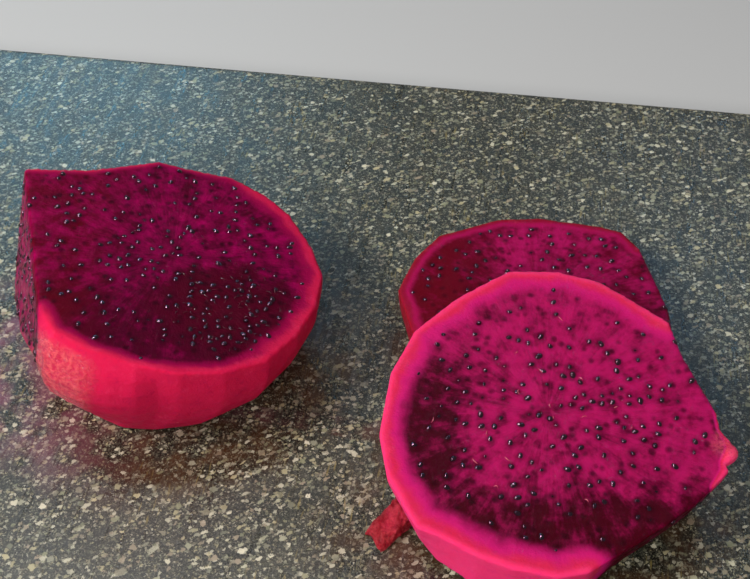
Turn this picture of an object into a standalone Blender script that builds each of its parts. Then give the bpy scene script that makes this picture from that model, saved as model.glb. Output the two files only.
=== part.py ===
"""Peeled dragon fruit on a speckled cutting board: an end piece, two round slices and a scrap.

Metres, +Z up. The origin is the middle of the board's underside, with the long side along X.
Every piece of fruit is one solid body, cut by straight knife strokes and resting on the board.
"""

import math

import bmesh
import bpy
from mathutils import Matrix, Vector

MM = 0.001
GAP = 0.3 * MM  # air left between pieces that rest on each other

# Cutting board
BOARD_LENGTH = 400 * MM
BOARD_WIDTH = 300 * MM
BOARD_THICKNESS = 12 * MM
BOARD_CORNER = 20 * MM
BOARD_EDGE_ROUND = 2.5 * MM
CORNER_STEPS = 8
EDGE_STEPS = 4

# The fruit lies in a group of its own, set down a little askew on the back half of the board.
GROUP_PLACE = (15 * MM, 49.3 * MM)
GROUP_TURN = math.radians(8.7)

# End piece: stands on a trimmed flat, cut face up and leaning to the right.
# Outline corners are (degrees, face radius, foot radius) in millimetres, with knife facets between.
# The corners from 150 to 220 degrees lie past the straight cut, which takes them off.
END_FACE_MIDDLE = (-48.5 * MM, -21.4 * MM, 30.7 * MM)
END_FACE_LEAN = math.radians(13)
END_FOOT_MIDDLE = (-57.5 * MM, -20.0 * MM)
END_OUTLINE = (
    (5, 36.7, 26.0), (20, 35.7, 27.0), (41, 36.1, 28.0), (56, 36.2, 29.0), (73, 36.4, 30.0),
    (91, 35.1, 31.0), (103, 37.0, 32.0), (115, 35.7, 33.0), (133, 37.5, 35.0), (150, 47.0, 38.0),
    (168, 53.0, 33.0), (190, 47.0, 25.0), (207, 39.5, 24.5), (220, 35.6, 25.0), (232, 37.5, 25.5),
    (246, 36.5, 27.2), (263, 36.2, 29.2), (278, 37.0, 29.8), (294, 37.4, 31.0), (311, 37.7, 30.0),
    (329, 36.4, 28.0), (347, 36.3, 26.5),
)
END_LEVELS = 8
END_WALL_POWER = 2.6  # the wall drops almost straight, then turns in to the foot
END_SWELL = 6 * MM  # the fruit's own round belly, left on the wall beside the straight cut
END_SWELL_ANGLE = 238
END_SWELL_REACH = 34
END_CUT_ANGLE = math.radians(196)
END_CUT_DISTANCE = 32.5 * MM
END_CUT_LEAN = math.radians(17)

# Front slice: leans towards the front, its back edge up on the rear slice.
# Slice outline corners are (degrees, face radius, underside radius) too.
# The corner at 345 degrees is a nub of rind that the peeling knife missed.
FRONT_MIDDLE = (38.9 * MM, -61.1 * MM, 21.25 * MM)
FRONT_LEAN = math.radians(12)
FRONT_THICKNESS = 13 * MM
FRONT_OUTLINE = (
    (359, 37.1, 35.6), (12, 34.8, 33.8), (24, 34.6, 33.6), (38, 37.8, 36.8), (53, 36.7, 35.7),
    (67, 37.9, 36.9), (82, 38.0, 37.0), (100, 38.5, 37.5), (122, 35.9, 34.9), (145, 36.3, 35.3),
    (165, 36.6, 35.4), (189, 38.6, 36.6), (204, 39.9, 36.8), (217, 40.5, 37.4), (223, 41.3, 38.6),
    (230, 39.3, 39.6), (243, 38.8, 39.9), (254, 38.7, 39.8), (268, 39.2, 39.6), (277, 38.4, 38.0),
    (294, 35.6, 33.6), (308, 35.4, 33.4), (321, 36.8, 34.8), (331, 38.6, 36.6), (338, 40.4, 38.6),
    (340, 39.2, 37.8), (345, 41.1, 38.2), (349, 39.5, 37.4), (352, 37.7, 36.2),
)

# Rear slice: lies flat, mostly under the front one.
REAR_MIDDLE = (42.0 * MM, -18.0 * MM)
REAR_THICKNESS = 9.5 * MM
REAR_OUTLINE = (
    (1, 32.9, 32.1), (21, 33.5, 32.6), (39, 37.7, 36.6), (50, 40.0, 38.8), (59, 38.6, 37.4),
    (84, 36.7, 35.5), (102, 36.9, 35.7), (130, 38.2, 37.0), (147, 37.3, 36.1), (168, 36.9, 35.7),
    (190, 33.6, 32.8), (208, 34.8, 33.8), (225, 37.0, 36.0), (240, 35.8, 35.0), (300, 35.8, 35.0),
    (318, 37.6, 36.8), (338, 34.8, 34.0),
)

# Scrap of flesh that came off the knife, half under the front slice.
SCRAP_OUTLINE = ((-2.2, -79.6), (1.2, -85.0), (7.8, -79.0), (12.2, -71.5), (8.2, -66.5), (3.2, -71.8))
SCRAP_THICKNESS = 2.4 * MM
SCRAP_SHRINK = 0.75

FACET_STEPS = 2  # stretches that one knife facet is divided into
SLICE_LEVELS = 3
SLICE_WALL_POWER = 1.6


def make_material(name, colour, roughness):
    material = bpy.data.materials.new(name)
    material.use_nodes = True
    shader = material.node_tree.nodes["Principled BSDF"]
    shader.inputs["Base Color"].default_value = (*colour, 1.0)
    shader.inputs["Roughness"].default_value = roughness
    shader.inputs["Metallic"].default_value = 0.0
    return material


def add_object(name, bm, material, parent=None):
    """Turn a finished bmesh into a named object with its faces pointing out."""
    bmesh.ops.recalc_face_normals(bm, faces=bm.faces)
    mesh = bpy.data.meshes.new(name)
    bm.to_mesh(mesh)
    bm.free()
    mesh.materials.append(material)
    mesh.shade_smooth()
    mesh.set_sharp_from_angle(angle=math.radians(30))
    piece = bpy.data.objects.new(name, mesh)
    bpy.context.collection.objects.link(piece)
    piece.parent = parent
    return piece


def loft(rings):
    """Close rings of the same number of points into one body, with a flat cap at each end."""
    bm = bmesh.new()
    rows = [[bm.verts.new(point) for point in ring] for ring in rings]
    count = len(rows[0])
    for lower, upper in zip(rows, rows[1:]):
        for i in range(count):
            j = (i + 1) % count
            bm.faces.new((lower[i], lower[j], upper[j], upper[i]))
    bm.faces.new(rows[0])
    bm.faces.new(rows[-1])
    return bm


def outline_points(corners, radius_index=1):
    """Corners given by degrees and millimetres, as flat vectors; straight facets join them."""
    ends = []
    for corner in corners:
        angle = math.radians(corner[0])
        ends.append(Vector((math.cos(angle), math.sin(angle))) * corner[radius_index] * MM)
    return ends


def split_facets(ends, steps):
    """Add steps - 1 points along each facet of a closed outline."""
    points = []
    for start, end in zip(ends, ends[1:] + ends[:1]):
        points += [start.lerp(end, step / steps) for step in range(steps)]
    return points


def board_ring(inset, height):
    """A rectangle with round corners, drawn in from the board's outline by inset."""
    radius = BOARD_CORNER - inset
    across = BOARD_LENGTH / 2 - BOARD_CORNER
    along = BOARD_WIDTH / 2 - BOARD_CORNER
    corners = ((across, along), (-across, along), (-across, -along), (across, -along))
    ring = []
    for quarter, (x, y) in enumerate(corners):
        for step in range(CORNER_STEPS + 1):
            angle = math.pi / 2 * (quarter + step / CORNER_STEPS)
            ring.append(Vector((x + radius * math.cos(angle), y + radius * math.sin(angle), height)))
    return ring


def build_board(material):
    """A flat plate with round corners and rounded edges."""
    turns = [math.pi / 2 * step / EDGE_STEPS for step in range(EDGE_STEPS + 1)]
    inward = [BOARD_EDGE_ROUND * (1 - math.sin(turn)) for turn in turns]
    rise = [BOARD_EDGE_ROUND * (1 - math.cos(turn)) for turn in turns]
    lower = [board_ring(inset, height) for inset, height in zip(inward, rise)]
    upper = [board_ring(inset, BOARD_THICKNESS - height) for inset, height in zip(inward, rise)]
    return add_object("board", loft(lower + upper[::-1]), material)


def build_end_piece(group, material):
    """A tapering stump with a leaning top face, a flat foot and one straight cut down its left side."""
    tilt = Matrix.Rotation(END_FACE_LEAN, 4, "Y")
    middle = Vector(END_FACE_MIDDLE)
    foot_middle = Vector((*END_FOOT_MIDDLE, GAP))
    face = split_facets(outline_points(END_OUTLINE, 1), FACET_STEPS)
    foot = split_facets(outline_points(END_OUTLINE, 2), FACET_STEPS)
    rings = []
    for level in range(END_LEVELS + 1):
        depth = level / END_LEVELS
        inward = depth**END_WALL_POWER
        swell = END_SWELL * 6.75 * depth * (1 - depth) ** 2
        ring = []
        for rim, base in zip(face, foot):
            top = middle + tilt @ rim.to_3d()
            bottom = foot_middle + base.to_3d()
            point = top.lerp(bottom, inward)
            point.z = top.z + (bottom.z - top.z) * depth
            off_swell = math.degrees(math.atan2(rim.y, rim.x)) % 360 - END_SWELL_ANGLE
            point += rim.normalized().to_3d() * swell * max(0.0, 1 - (off_swell / END_SWELL_REACH) ** 2)
            ring.append(point)
        rings.append(ring)
    bm = loft(rings)

    outward = Vector((math.cos(END_CUT_ANGLE), math.sin(END_CUT_ANGLE), 0.0))
    on_cut = middle + tilt @ (outward * END_CUT_DISTANCE)
    stroke = Vector((-outward.y, outward.x, 0.0))
    normal = Matrix.Rotation(-END_CUT_LEAN, 4, stroke) @ outward
    cut = bmesh.ops.bisect_plane(
        bm, geom=bm.verts[:] + bm.edges[:] + bm.faces[:], plane_co=on_cut, plane_no=normal, clear_outer=True
    )
    rim = [edge for edge in cut["geom_cut"] if isinstance(edge, bmesh.types.BMEdge)]
    bmesh.ops.contextual_create(bm, geom=rim)
    return add_object("end_piece", bm, material, group)


def build_slice(name, group, material, outline, thickness, place, lean):
    """A round slice whose top face has its middle at place, leaning about the X axis."""
    face = split_facets(outline_points(outline, 1), FACET_STEPS)
    foot = split_facets(outline_points(outline, 2), FACET_STEPS)
    rings = []
    for level in range(SLICE_LEVELS + 1):
        depth = level / SLICE_LEVELS
        inward = depth**SLICE_WALL_POWER
        drop = Vector((0, 0, -thickness * depth))
        rings.append([rim.lerp(base, inward).to_3d() + drop for rim, base in zip(face, foot)])
    piece = add_object(name, loft(rings), material, group)
    piece.location = place
    piece.rotation_euler.x = lean
    return piece


def build_scrap(group, material):
    """A thin strip of flesh lying flat."""
    middle = sum((Vector(point) for point in SCRAP_OUTLINE), Vector((0, 0))) / len(SCRAP_OUTLINE)
    foot = [Vector((x * MM, y * MM, GAP)) for x, y in SCRAP_OUTLINE]
    centre = Vector((middle.x * MM, middle.y * MM, GAP))
    top = [centre + (point - centre) * SCRAP_SHRINK + Vector((0, 0, SCRAP_THICKNESS)) for point in foot]
    waist = [centre + (point - centre) * 0.97 + Vector((0, 0, SCRAP_THICKNESS / 2)) for point in foot]
    return add_object("flesh_scrap", loft([foot, waist, top]), material, group)


def clear_scene():
    for old in list(bpy.data.objects):
        bpy.data.objects.remove(old)


def build():
    clear_scene()
    stone = make_material("speckled_board", (0.075, 0.08, 0.06), 0.35)
    flesh = make_material("red_flesh", (0.42, 0.008, 0.09), 0.3)
    build_board(stone)
    group = bpy.data.objects.new("fruit_group", None)
    bpy.context.collection.objects.link(group)
    group.location = (*GROUP_PLACE, BOARD_THICKNESS)
    group.rotation_euler.z = GROUP_TURN
    build_end_piece(group, flesh)
    build_slice("front_slice", group, flesh, FRONT_OUTLINE, FRONT_THICKNESS, FRONT_MIDDLE, FRONT_LEAN)
    rear_place = (*REAR_MIDDLE, REAR_THICKNESS + GAP)
    build_slice("rear_slice", group, flesh, REAR_OUTLINE, REAR_THICKNESS, rear_place, 0.0)
    build_scrap(group, flesh)


build()
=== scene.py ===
"""Looks for peeled dragon fruit on a speckled cutting board.

Each piece of fruit is remeshed finely from its CAD solid, which softens its knife edges. Its wet flesh
changes colour with the depth under the peeled wall, and its seeds are a piece of their own. The board
is a finer plate with stone-like flecks. Lengths are in metres, apart from names that end in _mm or
_MM, a fruit's local coordinates u, v, w and its depth, which are in millimetres.
"""

import itertools
import math

import bmesh
import bpy
import numpy as np
from mathutils import Matrix, Vector, noise
from mathutils.bvhtree import BVHTree
from mathutils.kdtree import KDTree


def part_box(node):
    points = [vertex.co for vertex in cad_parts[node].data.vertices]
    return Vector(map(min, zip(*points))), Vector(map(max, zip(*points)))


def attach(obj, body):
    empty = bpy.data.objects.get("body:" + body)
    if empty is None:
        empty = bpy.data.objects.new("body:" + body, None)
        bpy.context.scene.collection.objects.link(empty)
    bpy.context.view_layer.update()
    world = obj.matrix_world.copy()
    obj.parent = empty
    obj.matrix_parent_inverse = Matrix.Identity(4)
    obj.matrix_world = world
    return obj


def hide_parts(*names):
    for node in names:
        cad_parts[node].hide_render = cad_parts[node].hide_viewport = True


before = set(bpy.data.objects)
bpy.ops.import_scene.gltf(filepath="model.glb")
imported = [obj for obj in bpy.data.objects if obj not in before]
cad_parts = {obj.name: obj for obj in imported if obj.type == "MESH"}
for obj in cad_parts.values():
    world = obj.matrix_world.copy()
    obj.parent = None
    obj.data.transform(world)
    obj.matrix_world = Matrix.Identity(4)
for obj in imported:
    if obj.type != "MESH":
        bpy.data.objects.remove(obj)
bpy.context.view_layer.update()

MM = 0.001
BOARD_LOW, BOARD_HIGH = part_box("board")
BOARD_TOP = BOARD_HIGH.z

GROUP_TURN = math.radians(8.7)  # the fruit lies a little askew on the board
CAMERA_TARGET = Vector((0.015, 0.0493, BOARD_TOP))
CAMERA_PITCH = math.radians(43.5)
CAMERA_DISTANCE = 0.326
CAMERA_LENS = 57.6

VOXEL = 0.45 * MM
DRAW_SEED = 11

TOP_FACING = 0.93  # a face that points up more than this belongs to the upper cut
FOOT_FACING = -0.97  # a face that points down more than this is a flat underside
CUT_SPREAD_DEG = 9  # a face turned no further than this from a knife cut belongs to it

SEED_LENGTHS_MM = (1.4, 2.2)
SEED_SINKS = (0.05, 0.11, 0.17, 0.23)  # how deep a seed's middle sits, as a share of its length
SEED_SINK_ODDS = (0.3, 0.3, 0.25, 0.15)
SEED_ZONE_MM = 2.5  # seeds reach their full number over this depth
SEED_CLEARANCE = 1.2 * MM  # no seed or fibre starts lower than this over the board

FIBRE_LENGTHS_MM = (0.7, 1.7)
FIBRE_CURL_MM = 0.4
FIBRE_RADIUS = 0.11 * MM
FIBRE_REST = 0.05 * MM
FIBRE_ARCH = 0.12 * MM

BOARD_CORNER = 20 * MM
BOARD_LEAST_CORNER = 0.4 * MM
BOARD_EDGE_ROUND = 2.5 * MM
BOARD_GRID = 3 * MM
BOARD_FOOT_INSET = 5 * MM


# Shared numbers and shapes


def smooth(values, start, end):
    """0 at start, 1 at end, with a soft turn at both."""
    share = np.clip((values - start) / (end - start), 0.0, 1.0)
    return share * share * (3 - 2 * share)


def wobble(points, size, offset=0.0):
    """Smooth noise between about -1 and 1 at each point, with swells as wide as size."""
    shift = Vector((offset, -offset, offset))
    return np.array([noise.noise(Vector(point) / size + shift) for point in points])


def read_points(mesh, name="co"):
    flat = np.empty(len(mesh.vertices) * 3, np.float32)
    mesh.vertices.foreach_get(name, flat)
    return flat.reshape(-1, 3).astype(float)


def write_points(mesh, points):
    mesh.vertices.foreach_set("co", np.asarray(points, np.float32).ravel())
    mesh.update()


def store(mesh, name, values):
    """Keep one number or one vector for each vertex, for the material to read."""
    kind, field = ("FLOAT_VECTOR", "vector") if values.ndim == 2 else ("FLOAT", "value")
    layer = mesh.attributes.new(name, kind, "POINT")
    layer.data.foreach_set(field, np.asarray(values, np.float32).ravel())


def new_object(name, mesh, material):
    piece = bpy.data.objects.new(name, mesh)
    bpy.context.scene.collection.objects.link(piece)
    mesh.materials.clear()
    mesh.materials.append(material)
    mesh.shade_smooth()
    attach(piece, "root")
    return piece


class Graph:
    """One material and short calls that add nodes to it."""

    def __init__(self, name):
        self.material = bpy.data.materials.new(name)
        self.material.use_nodes = True
        self.tree = self.material.node_tree
        self.shader = self.tree.nodes["Principled BSDF"]

    def feed(self, socket, value):
        if isinstance(value, bpy.types.NodeSocket):
            self.tree.links.new(value, socket)
        else:
            socket.default_value = value

    def put(self, kind, inputs=None, **settings):
        node = self.tree.nodes.new("ShaderNode" + kind)
        for key, value in settings.items():
            setattr(node, key, value)
        for key, value in (inputs or {}).items():
            self.feed(node.inputs[key], value)
        return node

    def finish(self, **inputs):
        """Set the main shader's inputs, where an underscore in a name stands for a space."""
        for key, value in inputs.items():
            self.feed(self.shader.inputs[key.replace("_", " ")], value)
        return self.material

    def math(self, operation, a, b=0.0, c=0.0):
        return self.put("Math", {0: a, 1: b, 2: c}, operation=operation).outputs[0]

    def vector(self, operation, a, inputs):
        return self.put("VectorMath", {0: a, **inputs}, operation=operation).outputs[0]

    def span(self, value, low, high, to_low=0.0, to_high=1.0):
        inputs = {0: value, 1: low, 2: high, 3: to_low, 4: to_high}
        return self.put("MapRange", inputs, interpolation_type="SMOOTHSTEP").outputs[0]

    def mix(self, share, a, b):
        """Colour a where share is 0, and b where it is 1."""
        node = self.put("Mix", {0: share}, data_type="RGBA")
        for index, value in ((6, a), (7, b)):
            self.feed(node.inputs[index], (*value, 1.0) if isinstance(value, tuple) else value)
        return node.outputs[2]

    def ramp(self, value, stops):
        node = self.put("ValToRGB", {0: value})
        marks = node.color_ramp.elements
        while len(marks) < len(stops):
            marks.new(0.5)
        for mark, (place, colour) in zip(marks, stops):
            mark.position = place
            mark.color = (*colour, 1.0)
        return node.outputs[0]

    def noise(self, where, size, detail=2.0, rough=0.5, distortion=0.0, output="Fac"):
        inputs = {"Vector": where, "Scale": 1 / size, "Detail": detail, "Roughness": rough}
        inputs["Distortion"] = distortion
        return self.put("TexNoise", inputs).outputs[output]

    def cells(self, where, size, **settings):
        return self.put("TexVoronoi", {"Vector": where, "Scale": 1 / size}, **settings)

    def spot(self):
        """The place on the object, in metres."""
        return self.put("TexCoord").outputs["Object"]

    def read(self, name, output="Fac"):
        """A value stored on the vertices."""
        return self.put("Attribute", attribute_name=name).outputs[output]

    def look(self):
        """The stored brightness, redness and brokenness."""
        return self.put("SeparateXYZ", {0: self.read("look", "Vector")}).outputs

    def sway(self, cloud, amount, value):
        """value, moved up and down by noise whose mean is one half."""
        return self.math("MULTIPLY_ADD", self.math("SUBTRACT", cloud, 0.5), amount, value)

    def bump(self, height, depth, strength=1.0, under=None):
        inputs = {"Height": height, "Distance": depth, "Strength": strength}
        if under is not None:
            inputs["Normal"] = under
        return self.put("Bump", inputs).outputs[0]


# Fruit


class Fruit:
    """A fine copy of one CAD solid, with the depth of each point under the peeled wall.

    cuts lists the directions, in degrees from the group's own X axis, that straight knife cuts face.
    """

    def __init__(self, node, cuts, voxel=VOXEL):
        self.node = node
        self.cuts = cuts
        self.measure_solid()
        self.mesh = self.fine_mesh(voxel)
        self.points = read_points(self.mesh)
        self.depth = np.array([self.wall.find_nearest(Vector(point))[3] for point in self.points]) / MM
        self.local = (self.points - np.array(self.middle)) @ np.array(self.axes).T / MM

    def measure_solid(self):
        """Find the upper cut face's middle and direction, and the stretches of peeled wall."""
        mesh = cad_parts[self.node].data
        tops = [face for face in mesh.polygons if face.normal.z > TOP_FACING]
        area = sum(face.area for face in tops)
        self.middle = sum((face.center * face.area for face in tops), Vector()) / area
        up = sum((face.normal * face.area for face in tops), Vector()).normalized()
        across = Vector((math.cos(GROUP_TURN), math.sin(GROUP_TURN), 0.0))
        across = (across - up * across.dot(up)).normalized()
        self.axes = Matrix((across, up.cross(across), up))
        walls = [tuple(face.vertices) for face in mesh.polygons if self.is_wall(face)]
        self.wall = BVHTree.FromPolygons([vertex.co for vertex in mesh.vertices], walls)

    def is_wall(self, face):
        """Whether a face is peeled wall, and not the upper cut, the foot or a straight knife cut."""
        if face.normal.z > TOP_FACING or face.normal.z < FOOT_FACING:
            return False
        facing = self.axes @ face.normal
        if facing.z < -0.3:
            return True
        turn = math.degrees(math.atan2(facing.y, facing.x))
        return all(abs((turn - cut + 180) % 360 - 180) > CUT_SPREAD_DEG for cut in self.cuts)

    def fine_mesh(self, voxel):
        """Even small faces over the whole solid, with the sharp edges worn round."""
        rough = bpy.data.objects.new("rough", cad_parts[self.node].data.copy())
        bpy.context.scene.collection.objects.link(rough)
        remesh = rough.modifiers.new("even", "REMESH")
        remesh.mode = "VOXEL"
        remesh.voxel_size = voxel
        result = rough.evaluated_get(bpy.context.evaluated_depsgraph_get())
        mesh = bpy.data.meshes.new_from_object(result)
        bpy.data.objects.remove(rough)
        points = read_points(mesh)
        ends = np.empty(len(mesh.edges) * 2, int)
        mesh.edges.foreach_get("vertices", ends)
        first, second = ends.reshape(-1, 2).T
        count = np.bincount(ends, minlength=len(points))[:, None]
        for _ in range(3):
            total = np.zeros_like(points)
            np.add.at(total, first, points[second])
            np.add.at(total, second, points[first])
            points += 0.5 * (total / count - points)
        write_points(mesh, points)
        return mesh

    def press(self, heights_mm):
        """Move every point along its normal."""
        self.points = self.points + read_points(self.mesh, "normal") * heights_mm[:, None] * MM
        write_points(self.mesh, self.points)

    def scatter(self, rng, tries, spacing, rim, density=None):
        """Random places on flesh deeper than rim, at least spacing apart, each with its face normal.

        density takes local coordinates and gives the chance that a try there is kept.
        """
        self.mesh.calc_loop_triangles()
        corners = np.empty(len(self.mesh.loop_triangles) * 3, int)
        self.mesh.loop_triangles.foreach_get("vertices", corners)
        corners = corners.reshape(-1, 3)
        a, b, c = (self.points[corners[:, i]] for i in range(3))
        normals = np.cross(b - a, c - a)
        areas = np.linalg.norm(normals, axis=1)
        picks = rng.choice(len(corners), tries, p=areas / areas.sum())
        weights = rng.dirichlet((1, 1, 1), tries)
        places = np.einsum("ij,ijk->ik", weights, self.points[corners[picks]])
        depths = (weights * self.depth[corners[picks]]).sum(axis=1)
        local = np.einsum("ij,ijk->ik", weights, self.local[corners[picks]])
        chance = np.ones(tries) if density is None else density(local)
        clear = places[:, 2] > BOARD_TOP + SEED_CLEARANCE
        chance = chance * smooth(depths, rim, rim + SEED_ZONE_MM) * clear
        lucky = rng.random(tries) < chance
        kept = []
        taken = {}
        for index in np.flatnonzero(lucky):
            place = places[index]
            cell = tuple((place // spacing).astype(int))
            around = itertools.product(*((step - 1, step, step + 1) for step in cell))
            near = itertools.chain.from_iterable(taken.get(other, ()) for other in around)
            if any(np.linalg.norm(other - place) < spacing for other in near):
                continue
            taken.setdefault(cell, []).append(place)
            normal = normals[picks[index]] / areas[picks[index]]
            kept.append((Vector(place), Vector(normal)))
        return kept


def seed_shape():
    """An egg drawn out to a blunt point at one end, one unit long and lying along X."""
    bm = bmesh.new()
    bmesh.ops.create_icosphere(bm, subdivisions=2, radius=0.5)
    for vertex in bm.verts:
        taper = 1 - 0.35 * (vertex.co.x + 0.5) ** 1.5
        vertex.co.y *= 0.74 * taper
        vertex.co.z *= 0.6 * taper
    bm.verts.index_update()
    points = np.array([vertex.co for vertex in bm.verts])
    faces = np.array([[vertex.index for vertex in face.verts] for face in bm.faces])
    bm.free()
    return points, faces


def add_seeds(fruit, name, places, rng, material):
    """Press a seed into the flesh at each place, with a low lip and painted shade in the flesh around
    it.
    """
    shape, faces = seed_shape()
    points = []
    polygons = []
    reach = 2.2 * MM
    dark_width = 0.95 * MM
    lip_radius = 0.8 * MM
    lip_width = 0.35 * MM
    lip_height_mm = 0.07
    shade = np.zeros(len(fruit.points))
    tree = KDTree(len(fruit.points))
    for index, point in enumerate(fruit.points):
        tree.insert(point, index)
    tree.balance()
    lift = np.zeros(len(fruit.points))
    for number, (place, normal) in enumerate(places):
        length = rng.uniform(*SEED_LENGTHS_MM) * MM
        sink = rng.choice(SEED_SINKS, p=SEED_SINK_ODDS) * length
        lean = Matrix.Rotation(rng.normal(0, 0.35), 3, "Y")
        spin = Matrix.Rotation(rng.uniform(0, math.tau), 3, "Z")
        turn = normal.to_track_quat("Z", "Y").to_matrix() @ spin @ lean
        middle = place - normal * sink
        points.append(shape * length @ np.array(turn).T + np.array(middle))
        polygons.append(faces + number * len(shape))
        for _, index, distance in tree.find_range(place, reach):
            near = math.exp(-((distance / dark_width) ** 2))
            lip = math.exp(-(((distance - lip_radius) / lip_width) ** 2))
            shade[index] = max(shade[index], near)
            lift[index] = max(lift[index], lip)
    fruit.press(lip_height_mm * lift)
    store(fruit.mesh, "shade", shade)
    mesh = bpy.data.meshes.new(name)
    mesh.from_pydata(np.concatenate(points), [], np.concatenate(polygons).tolist())
    return new_object(name, mesh, material)


def add_fibres(name, places, rng, material):
    """Short glossy threads of pulp that lie curled on the cut face."""
    sides = 5
    steps = 6
    points = []
    faces = []
    for place, normal in places:
        spin = Matrix.Rotation(rng.uniform(0, math.tau), 3, "Z")
        turn = normal.to_track_quat("Z", "Y").to_matrix() @ spin
        length = rng.uniform(*FIBRE_LENGTHS_MM) * MM
        curl = rng.uniform(-FIBRE_CURL_MM, FIBRE_CURL_MM) * MM
        for step in range(steps + 1):
            share = step / steps
            bow = 4 * share * (1 - share)
            middle = Vector(((share - 0.5) * length, curl * bow, FIBRE_REST + FIBRE_ARCH * bow))
            radius = FIBRE_RADIUS * (0.3 + 0.7 * bow)
            first = len(points)
            for side in range(sides):
                angle = math.tau * side / sides
                around = Vector((0.0, radius * math.cos(angle), radius * math.sin(angle)))
                points.append(place + turn @ (middle + around))
            if step:
                below = first - sides
                for side in range(sides):
                    other = (side + 1) % sides
                    faces.append((below + side, below + other, first + other, first + side))
        start = first - steps * sides
        faces.append(tuple(range(first, first + sides)))
        faces.append(tuple(range(start, start + sides))[::-1])
    mesh = bpy.data.meshes.new(name)
    mesh.from_pydata(points, [], faces)
    return new_object(name, mesh, material)


def thread_material(name, dark, light, **shine):
    """Pulp thread in soft patches of two colours."""
    graph = Graph(name)
    tint = graph.noise(graph.spot(), 1.2 * MM)
    return graph.finish(Base_Color=graph.ramp(tint, ((0.35, dark), (0.7, light))), **shine)


def fibre_material():
    return thread_material(
        "pulp_fibre",
        dark=(0.5, 0.01, 0.08),
        light=(0.85, 0.16, 0.22),
        Roughness=0.25,
        Specular_IOR_Level=0.8,
        Coat_Weight=0.8,
        Coat_Roughness=0.05,
    )


def film_material():
    return thread_material(
        "dark_wet_pulp",
        dark=(0.03, 0.0, 0.006),
        light=(0.1, 0.001, 0.018),
        Roughness=0.4,
        Specular_IOR_Level=0.1,
        Coat_Weight=1.0,
        Coat_Roughness=0.04,
        Coat_IOR=1.6,
    )


def seed_material():
    """Near-black seeds with a sharp, slightly pink shine."""
    graph = Graph("black_seed")
    spot = graph.spot()
    tint = graph.noise(spot, 1.5 * MM)
    colour = graph.ramp(tint, ((0.35, (0.001, 0.0005, 0.001)), (0.75, (0.008, 0.001, 0.003))))
    pits = graph.noise(spot, 0.12 * MM, detail=1.0)
    return graph.finish(
        Base_Color=colour,
        Roughness=0.09,
        Specular_IOR_Level=1.0,
        Specular_Tint=(1.0, 0.5, 0.75, 1.0),
        Coat_Weight=0.0,
        Normal=graph.bump(pits, 0.01 * MM, 0.5),
    )


def pulp_colour(graph, ragged, fine, light, dark, red_dark, buried):
    """Flesh with bright and dark streaks out from its middle, and seeds that show from below."""
    spot = graph.spot()
    bright, red, _ = graph.look()
    streak = graph.noise(graph.read("ray", "Vector"), 0.06, detail=3.0, rough=0.6, distortion=0.4)
    patch = graph.noise(spot, 4 * MM, detail=4.0, rough=0.65)
    glow = bright
    for cloud, weight in ((streak, 0.7), (fine, 0.3), (patch, 1.7)):
        glow = graph.sway(cloud, weight, glow)
    flesh = graph.mix(graph.span(glow, 0.0, 1.0), graph.mix(red, dark, red_dark), light)

    spots = graph.cells(spot, 3.1 * MM, feature="F1").outputs["Distance"]
    spots = graph.sway(ragged, 0.35, spots)
    hidden = graph.span(spots, 0.06, 0.38, 0.7 * buried, 0.0)
    hidden = graph.math("MULTIPLY", hidden, graph.span(graph.read("depth"), 4.0, 7.0))
    flesh = graph.mix(hidden, flesh, tuple(0.25 * part for part in dark))
    # Painted shade: the flesh darkened round each seed, where the seed's shadow falls in the
    # translucent flesh.
    shade = graph.math("MULTIPLY", graph.read("shade"), 0.85)
    return graph.mix(shade, flesh, tuple(0.3 * part for part in dark))


def skin_colour(graph, rind, rim, inner):
    """The peeled wall and the rim just under it, mottled with pale and dark patches."""
    spot = graph.spot()
    cloud = graph.noise(spot, 14 * MM, detail=2.0)
    below = graph.sway(cloud, 1.5, graph.read("depth"))
    skin = graph.mix(graph.span(below, 0.2, 2.2), rind, rim)
    mottle = graph.noise(spot, 2.8 * MM, detail=5.0, rough=0.7)
    skin = graph.mix(graph.span(mottle, 0.52, 0.78, 0.0, 0.3), skin, (0.95, 0.07, 0.2))
    return graph.mix(graph.span(mottle, 0.48, 0.26, 0.0, 0.35), skin, inner)


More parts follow.
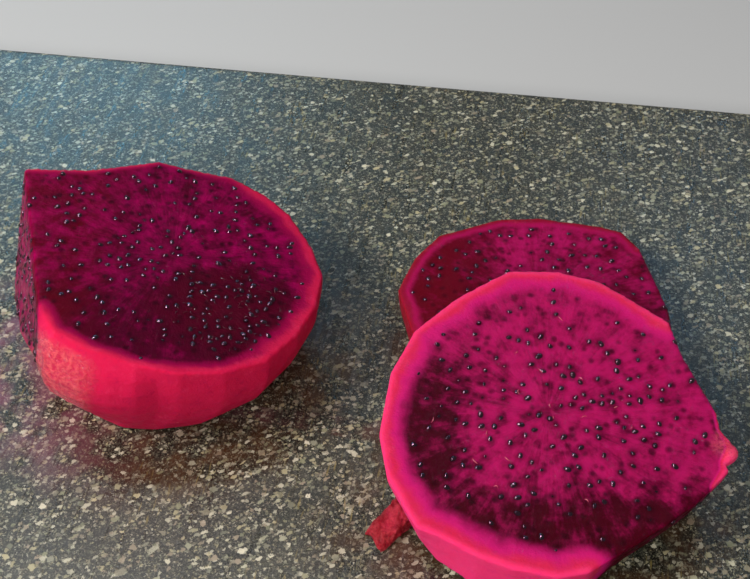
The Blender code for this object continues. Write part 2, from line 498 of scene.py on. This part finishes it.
def flesh_material(name, rind, rim, inner, light, dark, red_dark, buried=1.0):
    """Wet translucent flesh, read from the values stored on each vertex.

    depth is how far a point lies under the peeled wall in millimetres. look holds brightness, redness
    and how broken the wet surface is. ray stretches noise along lines from the middle of the face.
    buried is how clearly deeper seeds show.
    """
    graph = Graph(name)
    spot = graph.spot()
    broken = graph.look()[2]
    ragged = graph.noise(spot, 2.2 * MM, detail=2.0)
    fine = graph.noise(graph.read("ray", "Vector"), 0.022, detail=3.0, rough=0.6)
    crust = graph.noise(spot, 1.1 * MM, detail=4.0, rough=0.7)

    edge = graph.sway(graph.noise(spot, 9 * MM, detail=3.0, rough=0.55), 5.0, graph.read("depth"))
    edge = graph.sway(ragged, 1.1, edge)
    colour = graph.mix(graph.span(edge, 1.5, 4.2), skin_colour(graph, rind, rim, inner), inner)
    flesh = pulp_colour(graph, ragged, fine, light, dark, red_dark, buried)
    colour = graph.mix(graph.span(edge, 3.6, 7.2), colour, flesh)
    # Partly painted highlight: the broken wet surface turns light salmon in lumps, partly torn pulp and
    # partly standing in for its wet glints.
    frayed_and_glint = graph.math("MULTIPLY", broken, graph.span(crust, 0.35, 0.65))
    colour = graph.mix(graph.math("MULTIPLY", frayed_and_glint, 0.6), colour, (0.98, 0.16, 0.17))

    grain = graph.noise(spot, 0.55 * MM, detail=3.0, rough=0.65)
    pulp = graph.cells(spot, 1.3 * MM, feature="SMOOTH_F1").outputs["Distance"]
    relief = graph.math("MULTIPLY_ADD", pulp, 0.6, grain)
    relief = graph.math("MULTIPLY_ADD", fine, 0.6, relief)
    bump = graph.bump(relief, 0.16 * MM, 0.75)
    bump = graph.bump(graph.math("MULTIPLY", crust, broken), 0.9 * MM, 1.0, bump)
    beads = graph.bump(graph.noise(spot, 0.7 * MM, detail=4.0, rough=0.75), 0.8 * MM, 0.9)
    film = graph.noise(spot, 2.4 * MM, detail=2.0)
    rough = graph.math("MULTIPLY_ADD", broken, -0.22, graph.span(film, 0.3, 0.7, 0.35, 0.55))
    wetness = graph.math("MULTIPLY", graph.read("gloss"), graph.span(film, 0.3, 0.7, 0.18, 0.1))
    return graph.finish(
        Base_Color=colour,
        Roughness=rough,
        Subsurface_Weight=0.55,
        Subsurface_Radius=(1.0, 0.12, 0.22),
        Subsurface_Scale=2.2 * MM,
        Specular_IOR_Level=0.02,
        Coat_Weight=wetness,
        Coat_Roughness=0.1,
        Normal=bump,
        Coat_Normal=beads,
    )


def finish_fruit(fruit, name, look, gloss, material):
    """Store what the material reads, and show the fine piece instead of its CAD solid."""
    u, v, w = fruit.local.T
    turn = np.arctan2(v, u)
    radius = np.hypot(u, v)
    outward = radius * 0.006 + w * 0.02
    ray = np.stack((np.cos(turn), np.sin(turn), outward), axis=1)
    store(fruit.mesh, "depth", fruit.depth)
    store(fruit.mesh, "ray", ray)
    store(fruit.mesh, "look", np.stack(look, axis=1))
    store(fruit.mesh, "gloss", gloss)
    piece = new_object(name, fruit.mesh, material)
    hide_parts(fruit.node)
    return piece


def knife_marks(fruit, amount=0.12):
    """The slight waves that a knife leaves, a little stronger on the peeled wall."""
    waves = wobble(fruit.points, 6 * MM) + 0.5 * wobble(fruit.points, 2.5 * MM, 7.0)
    return amount * waves * (1.0 - 0.6 * smooth(fruit.depth, 0.5, 3.0))


def build_front_slice(rng, seeds):
    """The leaning slice, with two chord cuts, a nub of rind and dark flesh low and to the left."""

    def seed_density(local):
        return 0.45 + 0.55 * smooth(np.hypot(*local.T[:2]), 30, 12)

    def middle_of_face(local):
        return smooth(local[:, 2], -1, 0) * smooth(np.hypot(*local.T[:2]), 34, 10)

    fruit = Fruit("front_slice", cuts=(18.5, 305))
    u, v, w = fruit.local.T
    nub = np.exp(-((np.hypot(u - 39.5, v + 10.5) / 2.4) ** 2)) * smooth(w, -6, -1)
    fruit.press(knife_marks(fruit) + 1.1 * nub)
    turn = np.degrees(np.arctan2(v, u))
    near_nub = smooth(turn, -50, -35) * smooth(turn, 12, 2) * smooth(np.hypot(u, v), 39.5, 37)
    fruit.depth = fruit.depth * (1 + 4 * near_nub)
    places = fruit.scatter(rng, 1300, 2.1 * MM, 4.4, seed_density)
    add_seeds(fruit, "front_slice_seeds", places, rng, seeds)
    threads = fruit.scatter(rng, 130, 3.0 * MM, 5.0, middle_of_face)
    add_fibres("front_slice_fibres", threads, rng, fibre_material())
    shadow = np.maximum(smooth(u, -12, -27) * smooth(v, 24, 8), smooth(v, -12, -27))
    bright = 0.7 - 0.6 * shadow
    red = 0.25 + 0.3 * smooth(v, -10, -30)
    broken = smooth(np.hypot(u - 39, v + 8), 5, 2) * 0.6
    material = flesh_material(
        "front_slice_flesh",
        rind=(0.88, 0.037, 0.17),
        rim=(0.67, 0.018, 0.08),
        inner=(0.6, 0.009, 0.16),
        light=(0.46, 0.006, 0.11),
        dark=(0.05, 0.0, 0.007),
        red_dark=(0.06, 0.0, 0.004),
    )
    gloss = 0.5 + 2 * broken
    finish_fruit(fruit, "front_slice_flesh", (bright, red, broken), gloss, material)


def build_rear_slice(rng, seeds):
    """The flat slice, with a thin rim and its darkest flesh on the left."""
    fruit = Fruit("rear_slice", cuts=(5, 270))
    fruit.press(knife_marks(fruit))
    u = fruit.local[:, 0]
    fruit.depth = fruit.depth * 1.7
    places = fruit.scatter(rng, 620, 2.5 * MM, 4.0)
    add_seeds(fruit, "rear_slice_seeds", places, rng, seeds)
    bright = 0.62 - 0.6 * smooth(u, 0, -20) - 0.25 * smooth(u, 8, 26)
    red = 0.35 + 0.5 * smooth(u, -5, -28)
    material = flesh_material(
        "rear_slice_flesh",
        # Painted shade: this rind and rim are far darker than the same fruit's rind on the other
        # pieces, because the slice's rim lies in shade.
        rind=(0.26, 0.005, 0.016),
        rim=(0.28, 0.004, 0.03),
        inner=(0.4, 0.004, 0.085),
        light=(0.48, 0.006, 0.12),
        dark=(0.12, 0.0, 0.018),
        red_dark=(0.13, 0.0, 0.006),
    )
    look = (bright, red, np.zeros_like(u))
    finish_fruit(fruit, "rear_slice_flesh", look, np.full_like(u, 0.4), material)


def build_end_piece(rng, seeds):
    """The big end piece, with a dark seedy heap, a wet seedy side cut and a rough wet patch of wall."""
    side_cut_deg = 196

    def seed_density(local):
        core = smooth(np.hypot(local[:, 0] + 6, local[:, 1] - 3), 14, 6)
        heap = smooth(np.hypot(local[:, 0] - 16, (local[:, 1] + 15) * 1.2), 16, 8)
        side = smooth(local[:, 2], -2, -4)
        return 0.2 + 0.35 * core + 0.8 * np.maximum(heap, side)

    def wet_heap(local):
        return smooth(np.hypot(local[:, 0] - 15, local[:, 1] + 15), 17, 9)

    fruit = Fruit("end_piece", cuts=(side_cut_deg,), voxel=0.5 * MM)
    u, v, w = fruit.local.T
    wet = smooth(np.hypot((u + 22) / 9, (v + 37) / 9), 1.3, 0.6)
    wet = wet * smooth(w, -1, -3) * smooth(w, -24, -17)
    fruit.press(knife_marks(fruit) + 0.16 * wet * wobble(fruit.points, 1.2 * MM, 3.0))

    turn = np.arctan2(v, u)
    back_left = smooth(np.cos(turn - math.radians(135)), 0.2, 0.8)
    front_left = smooth(np.cos(turn - math.radians(245)), 0.3, 0.8)
    fruit.depth = fruit.depth * (1.1 + 1.8 * back_left + 0.9 * front_left)
    cut = math.radians(side_cut_deg)
    toward_cut = u * math.cos(cut) + v * math.sin(cut)
    cut_edge = toward_cut.max()
    fruit.depth = fruit.depth + 2.6 * smooth(toward_cut, cut_edge - 4.5, cut_edge - 1.5)

    places = fruit.scatter(rng, 4200, 1.6 * MM, 3.4, seed_density)
    add_seeds(fruit, "end_piece_seeds", places, rng, seeds)
    threads = fruit.scatter(rng, 2600, 1.1 * MM, 5.0, wet_heap)
    add_fibres("end_piece_fibres", threads, rng, film_material())
    from_heap = np.hypot(u - 15, (v + 15) * 1.1) + 4 * wobble(fruit.points, 7 * MM, 4.0)
    heap = smooth(from_heap, 22, 7)
    side = smooth(w, -2, -4) * smooth(u, -20, -26) * smooth(fruit.depth, 0.5, 2.5)
    # Painted sheen: the side cut's flesh is made lighter (+0.3 * side) and less red, standing in for
    # its grazing reflection.
    bright = 0.46 - 0.75 * heap - 0.1 * smooth(u, 0, -22) - 0.3 * smooth(v, -2, -26) + 0.3 * side
    red = 0.1 + 0.8 * smooth(u, -8, -24) * (1 - side) + 0.3 * heap
    material = flesh_material(
        "end_piece_flesh",
        rind=(0.68, 0.012, 0.075),
        rim=(0.6, 0.011, 0.075),
        inner=(0.32, 0.001, 0.06),
        light=(0.36, 0.0, 0.09),
        dark=(0.07, 0.0, 0.014),
        red_dark=(0.11, 0.0, 0.008),
    )
    gloss = 0.15 + 0.1 * heap + 5.0 * side + 6.0 * wet
    finish_fruit(fruit, "end_piece_flesh", (bright, red, wet), gloss, material)


def build_scrap():
    """The ragged strip of flesh, with no seeds."""
    fruit = Fruit("flesh_scrap", cuts=(), voxel=0.2 * MM)
    one = np.ones(len(fruit.points))
    fibres = fruit.points * (1.0, 0.45, 1.0)
    fruit.press(0.7 * wobble(fibres, 2.2 * MM) - 0.2 + 0.3 * wobble(fibres, 0.8 * MM, 5.0))
    store(fruit.mesh, "shade", 0 * one)
    material = flesh_material(
        "scrap_flesh",
        rind=(0.24, 0.004, 0.014),
        rim=(0.42, 0.012, 0.045),
        inner=(0.38, 0.006, 0.03),
        light=(0.5, 0.012, 0.05),
        dark=(0.18, 0.001, 0.012),
        red_dark=(0.2, 0.001, 0.01),
        buried=0.0,
    )
    finish_fruit(fruit, "flesh_scrap_pulp", (0.5 * one, 0.8 * one, 0.35 * one), 2.5 * one, material)


# Board


def board_ring(inset, height, corner_steps=16):
    """A rectangle with round corners, drawn in from the board's outline by inset."""
    half = (BOARD_HIGH - BOARD_LOW) / 2
    radius = max(BOARD_CORNER - inset, BOARD_LEAST_CORNER)
    reach = (half.x - inset - radius, half.y - inset - radius)
    signs = ((1, 1), (-1, 1), (-1, -1), (1, -1))

    def corner_point(quarter, share):
        sx, sy = signs[quarter % 4]
        angle = math.pi / 2 * (quarter + share)
        x = sx * reach[0] + radius * math.cos(angle)
        y = sy * reach[1] + radius * math.sin(angle)
        return (x, y, height)

    ring = []
    for quarter in range(4):
        ring += [corner_point(quarter, turn / corner_steps) for turn in range(corner_steps + 1)]
        start = ring[-1]
        end = corner_point(quarter + 1, 0)
        side = 2 * (half.x if quarter % 2 == 0 else half.y)
        count = round(side / BOARD_GRID)
        for part in range(1, count):
            share = part / count
            ring.append(tuple(a + (b - a) * share for a, b in zip(start, end)))
    return ring


def board_mesh():
    """A plate with round edges, as closed rings from the foot up and in over the top."""
    turns = [math.pi / 2 * step / 6 for step in range(7)]
    insets = [BOARD_EDGE_ROUND * (1 - math.sin(turn)) for turn in turns]
    rises = [BOARD_EDGE_ROUND * (1 - math.cos(turn)) for turn in turns]
    rings = [board_ring(BOARD_FOOT_INSET, 0.0)]
    rings += [board_ring(inset, rise) for inset, rise in zip(insets, rises)]
    rings += [board_ring(inset, BOARD_TOP - rise) for inset, rise in zip(insets[::-1], rises[::-1])]
    inset = insets[0]
    half_width = (BOARD_HIGH.y - BOARD_LOW.y) / 2
    while inset < half_width - 4 * MM:
        inset += BOARD_GRID
        rings.append(board_ring(inset, BOARD_TOP))
    count = len(rings[0])
    faces = [tuple(range(count))[::-1]]
    for level in range(len(rings) - 1):
        low = level * count
        for i in range(count):
            j = (i + 1) % count
            faces.append((low + i, low + j, low + count + j, low + count + i))
    last = (len(rings) - 1) * count
    faces.append(tuple(range(last, last + count)))
    points = [point for ring in rings for point in ring]
    mesh = bpy.data.meshes.new("board_plate")
    mesh.from_pydata(points, [], faces)
    return mesh, np.array(points)


def juice_and_shadow_near_fruit(points):
    """1 under each piece of fruit, fading to 0 a little way outside it."""
    juice_and_shadow = np.zeros(len(points))
    for node, reach in (("end_piece", 9), ("flesh_scrap", 9), ("front_slice", 4), ("rear_slice", 3)):
        low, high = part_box(node)
        middle = (low + high) / 2
        half = (high - low) / 2
        away = np.hypot((points[:, 0] - middle.x) / half.x, (points[:, 1] - middle.y) / half.y) - 1
        near = smooth(away * half.x / MM, reach * 2.0, 0.0)
        juice_and_shadow = np.maximum(juice_and_shadow, near)
    return juice_and_shadow


def build_board():
    """The plate with a slightly wavy top, chipped sides, and juice stains and painted shadow round the
    fruit.
    """
    mesh, points = board_mesh()
    normals = read_points(mesh, "normal")
    top = smooth(points[:, 2], BOARD_TOP - 2 * MM, BOARD_TOP)
    chips = np.clip(wobble(points, 4 * MM) - 0.35, 0, 1) * (1 - top)
    chips = chips * smooth(points[:, 2], 0, 1 * MM)
    heights = 0.02 * MM * wobble(points, 9 * MM, 2.0) * top - 0.5 * MM * chips
    points = points + normals * heights[:, None]
    write_points(mesh, points)
    # Where juice stains and painted shadow lie on the board: under and round each piece of fruit.
    store(mesh, "juice_and_shadow", juice_and_shadow_near_fruit(points) * top)
    end_low, end_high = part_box("end_piece")
    # 0 at the end piece's left and 1 from near its right onwards: where brown painted shadow takes over
    # from purple juice.
    store(mesh, "stain_and_shadow", smooth(points[:, 0], end_low.x, end_high.x - 30 * MM))
    piece = new_object("board_plate", mesh, board_material())
    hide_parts("board")


def bent_spot(graph, spot):
    """The place on the board, pushed about a little so that flecks get ragged edges."""
    bend = graph.noise(spot, 0.8 * MM, detail=3.0, rough=0.7, output="Color")
    bend = graph.vector("SUBTRACT", bend, {1: (0.5, 0.5, 0.5)})
    bend = graph.vector("SCALE", bend, {3: 1.6 * MM})
    return graph.vector("ADD", spot, {1: bend})


def add_flecks(graph, spot, ground):
    """Layers of cream, beige and olive flecks; gives the colour and where flecks stand proud."""
    bent = bent_spot(graph, spot)
    slanted = graph.put(
        "Mapping",
        {"Vector": bent, "Rotation": (0.0, 0.0, 0.7), "Scale": (2.0, 1.0, 1.0)},
        vector_type="TEXTURE",
    ).outputs[0]
    hues = (
        (0.0, (0.6, 0.52, 0.3)),
        (0.25, (0.25, 0.26, 0.15)),
        (0.5, (0.78, 0.73, 0.54)),
        (0.75, (0.16, 0.17, 0.11)),
        (1.0, (0.4, 0.32, 0.22)),
    )
    raised = None
    layers = (  # place, size in millimetres, share of cells used, reach in a cell, strength
        (bent, 0.55, 0.34, 0.62, 0.5),
        (bent, 0.9, 0.3, 0.6, 0.65),
        (slanted, 0.9, 0.16, 0.6, 0.8),
        (slanted, 2.1, 0.05, 0.5, 0.9),
        (bent, 1.7, 0.14, 0.52, 0.9),
    )
    for where, size_mm, share, reach, strength in layers:
        cells = graph.cells(where, size_mm * MM, feature="F1")
        parts = graph.put("SeparateColor", {0: cells.outputs["Color"]}).outputs
        chosen = graph.span(parts[0], share + 0.02, share - 0.02)
        size = graph.math("MULTIPLY_ADD", parts[2], -0.3, reach)
        inside = graph.span(graph.math("SUBTRACT", cells.outputs["Distance"], size), 0.03, -0.05)
        fleck = graph.math("MULTIPLY", chosen, inside)
        tint = graph.ramp(parts[1], hues)
        ground = graph.mix(graph.math("MULTIPLY", fleck, strength), ground, tint)
        raised = fleck if raised is None else graph.math("MAXIMUM", raised, fleck)
    return ground, raised


def add_threads(graph, spot, grain, ground):
    """A few yellow-brown threads along the grain."""
    threads = graph.noise(grain, 0.7 * MM, detail=2.0)
    zone = graph.noise(spot, 18 * MM, detail=2.0)
    threads = graph.math("MULTIPLY", graph.span(threads, 0.6, 0.72), graph.span(zone, 0.5, 0.62))
    return graph.mix(graph.math("MULTIPLY", threads, 0.6), ground, (0.32, 0.25, 0.08))


def add_juice_and_shadow(graph, spot, ground):
    """Purple juice stains near the fruit on the left, and brown painted shadow and painted reflection
    of the fruit further right.
    """
    patch = graph.noise(spot, 7 * MM, detail=3.0)
    juice_and_shadow = graph.math("MULTIPLY", graph.read("juice_and_shadow"), graph.span(patch, 0.35, 0.65))
    right = graph.read("stain_and_shadow")
    # Purple is juice; brown is painted shadow, with the fruit's dark reflection painted in.
    stain_and_shadow = graph.mix(right, (0.38, 0.11, 0.2), (0.08, 0.03, 0.01))
    share = graph.math("MULTIPLY", juice_and_shadow, graph.math("MULTIPLY_ADD", right, 0.2, 0.36))
    return graph.mix(share, ground, stain_and_shadow)


def board_material():
    """Dark green-grey ground with pale dust, flecks, threads, juice stains and painted shadow, in a
    satin polish.
    """
    graph = Graph("speckled_stone")
    spot = graph.spot()
    grain = graph.put(
        "Mapping", {"Vector": spot, "Rotation": (0.0, 0.0, 0.35), "Scale": (1.0, 0.12, 1.0)}
    ).outputs[0]

    cloud = graph.noise(spot, 14 * MM, detail=4.0, rough=0.6)
    shades = ((0.3, (0.006, 0.008, 0.007)), (0.55, (0.013, 0.014, 0.01)), (0.72, (0.03, 0.027, 0.016)))
    dust = graph.noise(spot, 0.45 * MM, detail=3.0, rough=0.7)
    ground = graph.mix(graph.span(dust, 0.42, 0.75), graph.ramp(cloud, shades), (0.13, 0.125, 0.088))
    ground, raised = add_flecks(graph, spot, ground)
    ground = add_threads(graph, spot, grain, ground)
    ground = add_juice_and_shadow(graph, spot, ground)

    scratch = graph.noise(grain, 1.6 * MM, detail=3.0)
    rough = graph.span(scratch, 0.3, 0.7, 0.26, 0.4)
    rough = graph.math("MULTIPLY_ADD", graph.read("juice_and_shadow"), -0.08, rough)
    bump = graph.bump(graph.math("MULTIPLY_ADD", raised, 0.5, dust), 0.12 * MM, 0.6)
    return graph.finish(
        Base_Color=ground,
        Roughness=rough,
        Specular_IOR_Level=0.4,
        Coat_Weight=0.08,
        Coat_Roughness=0.25,
        Normal=bump,
    )


# Floor, lights and camera


def build_floor():
    """A plain pale stage, level with the board's underside."""
    mesh = bpy.data.meshes.new("floor")
    half = 4.0
    corners = [(-half, -half, 0), (half, -half, 0), (half, half, 0), (-half, half, 0)]
    mesh.from_pydata(corners, [], [(0, 1, 2, 3)])
    floor = bpy.data.objects.new("floor", mesh)
    bpy.context.scene.collection.objects.link(floor)
    pale = Graph("pale_floor").finish(Base_Color=(0.6, 0.6, 0.59, 1.0), Roughness=0.7)
    mesh.materials.append(pale)


def add_light(name, turn, rise, distance, size, power, colour):
    """A soft rectangle aimed at the fruit, with its distance and size in metres and power in watts.

    turn is in degrees from straight behind the fruit, to the right, and rise in degrees above it.
    """
    lamp = bpy.data.lights.new(name, "AREA")
    lamp.shape = "RECTANGLE"
    lamp.size, lamp.size_y = size
    lamp.energy = power
    lamp.color = colour
    light = bpy.data.objects.new(name, lamp)
    bpy.context.scene.collection.objects.link(light)
    heading = GROUP_TURN - math.radians(turn)
    rise = math.radians(rise)
    level = math.cos(rise)
    away = Vector((-math.sin(heading) * level, math.cos(heading) * level, math.sin(rise)))
    light.location = CAMERA_TARGET + away * distance
    light.rotation_euler = away.to_track_quat("Z", "Y").to_euler()
    return light


def build_lights():
    """A main window and a fill, with three more lights that only show in reflections.

    Two of those three are blue and tint the sheen of the board. The fill shows in no reflection.
    """
    world = bpy.data.worlds.new("soft_room")
    world.use_nodes = True
    world.node_tree.nodes["Background"].inputs[0].default_value = (0.85, 0.87, 0.9, 1.0)
    world.node_tree.nodes["Background"].inputs[1].default_value = 0.24
    bpy.context.scene.world = world
    add_light("window", -112, 44, 1.0, (0.26, 0.22), 7.0, (1.0, 0.98, 0.96))
    glints = (
        add_light("window_low", -20, 29, 1.3, (0.45, 0.1), 3.0, (0.22, 0.68, 1.0)),
        add_light("window_right", 26, 41, 1.2, (0.25, 0.04), 0.8, (0.25, 0.62, 1.0)),
        add_light("lamp", -62, 70, 1.0, (0.14, 0.12), 8.0, (1.0, 1.0, 1.0)),
    )
    for light in glints:
        light.visible_diffuse = False
    fill = add_light("fill", -160, 34, 1.4, (0.5, 0.4), 9.2, (1.0, 0.96, 0.94))
    fill.visible_glossy = False


def build_camera():
    """The photograph's viewing angle, square to the fruit rather than to the board."""
    camera = bpy.data.objects.new("camera", bpy.data.cameras.new("camera"))
    bpy.context.scene.collection.objects.link(camera)
    camera.data.lens = CAMERA_LENS
    camera.data.clip_start = 0.01
    level = math.cos(CAMERA_PITCH)
    away = Vector((math.sin(GROUP_TURN) * level, -math.cos(GROUP_TURN) * level, math.sin(CAMERA_PITCH)))
    camera.location = CAMERA_TARGET + away * CAMERA_DISTANCE
    camera.rotation_euler = (math.pi / 2 - CAMERA_PITCH, 0.0, GROUP_TURN)
    bpy.context.scene.camera = camera
    bpy.context.scene.view_settings.view_transform = "Standard"


rng = np.random.default_rng(DRAW_SEED)
seeds = seed_material()
build_board()
build_end_piece(rng, seeds)
build_rear_slice(rng, seeds)
build_front_slice(rng, seeds)
build_scrap()
build_floor()
build_lights()
build_camera()
